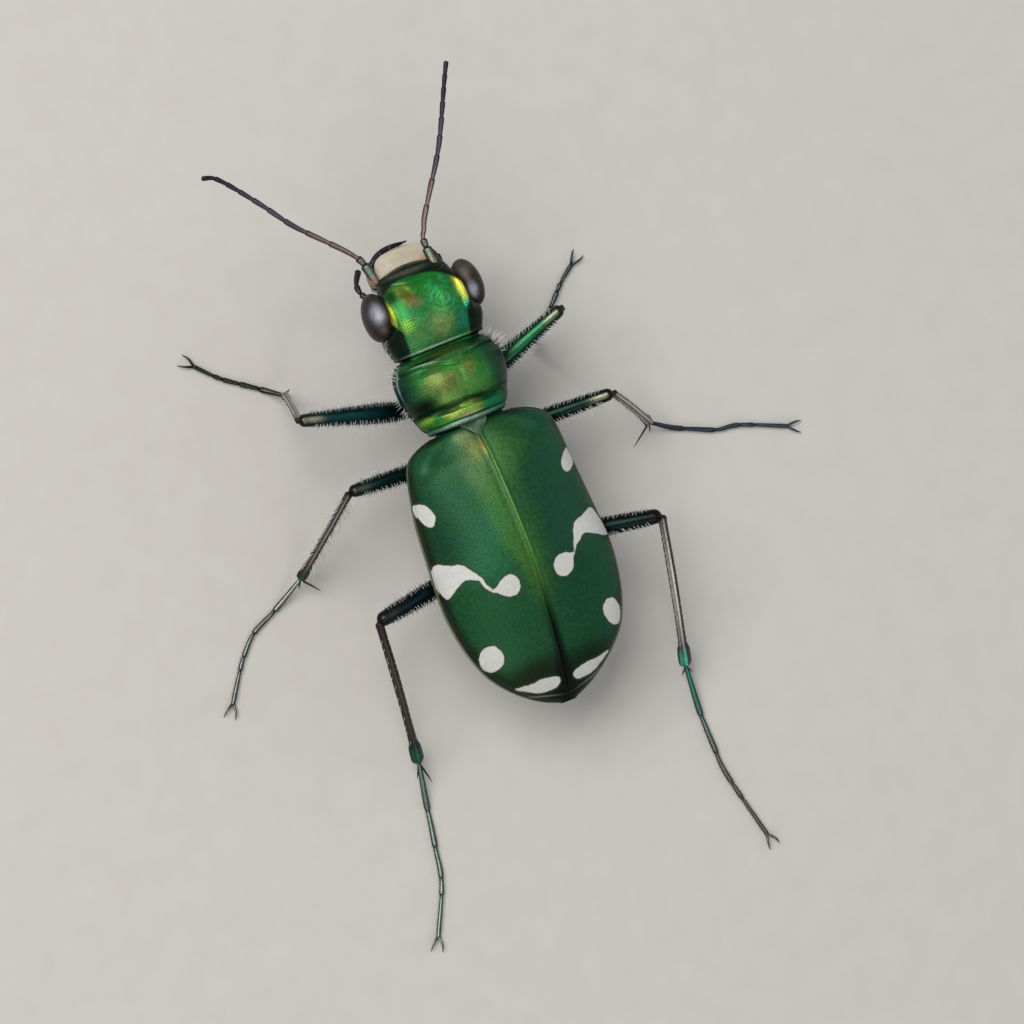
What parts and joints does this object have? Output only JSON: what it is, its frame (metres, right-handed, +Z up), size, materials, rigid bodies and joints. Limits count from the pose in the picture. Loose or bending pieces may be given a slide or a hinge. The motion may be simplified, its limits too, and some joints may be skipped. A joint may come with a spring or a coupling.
{
  "type": "tiger beetle",
  "caption": "Life-size still model of a green tiger beetle with ivory spots, standing on its long legs.",
  "frame": {"origin": "centre of the beetle's footprint on the floor, under the middle of its bounding box", "axes": "-Y towards the head, +X towards the beetle's left, +Z up from the floor"},
  "size_m": [0.019, 0.024, 0.0056],
  "materials": {
    "elytra_green": "finely granulated metallic green cuticle",
    "forebody_green": "polished metallic green cuticle with copper and gold tints",
    "under_green": "smooth dark blue-green metallic cuticle",
    "leg_teal": "glossy dark teal metallic cuticle",
    "shank_bronze": "satin dark bronze cuticle",
    "ivory": "satin ivory cuticle",
    "jaw_dark": "glossy dark purple-brown cuticle",
    "eye_brown": "glossy grey-brown faceted eye",
    "feeler_brown": "satin coppery brown cuticle"
  },
  "bodies": {
    "root": {"head": "forebody_green", "labrum": "ivory", "eye_left": "eye_brown", "eye_right": "eye_brown", "mandible_left": "jaw_dark", "mandible_right": "jaw_dark", "maxillary_palp_left": "jaw_dark", "maxillary_palp_right": "jaw_dark", "labial_palp_left": "ivory", "labial_palp_right": "ivory", "antenna_left_scape": "ivory", "antenna_left_stem": "feeler_brown", "antenna_left_whip": "feeler_brown", "antenna_right_scape": "ivory", "antenna_right_stem": "feeler_brown", "antenna_right_whip": "feeler_brown", "prothorax": "forebody_green", "scutellum": "forebody_green", "elytron_left": "elytra_green", "elytron_right": "elytra_green", "pterothorax": "under_green", "abdomen": "under_green", "coxa_front_left": "under_green", "femur_front_left": "leg_teal", "tibia_front_left": "shank_bronze", "tarsus_front_left": "leg_teal", "coxa_front_right": "under_green", "femur_front_right": "leg_teal", "tibia_front_right": "shank_bronze", "tarsus_front_right": "leg_teal", "coxa_mid_left": "under_green", "femur_mid_left": "leg_teal", "tibia_mid_left": "shank_bronze", "tarsus_mid_left": "leg_teal", "coxa_mid_right": "under_green", "femur_mid_right": "leg_teal", "tibia_mid_right": "shank_bronze", "tarsus_mid_right": "leg_teal", "coxa_hind_left": "under_green", "femur_hind_left": "leg_teal", "tibia_hind_left": "shank_bronze", "tarsus_hind_left": "leg_teal", "coxa_hind_right": "under_green", "femur_hind_right": "leg_teal", "tibia_hind_right": "shank_bronze", "tarsus_hind_right": "leg_teal"}
  },
  "joints": []
}
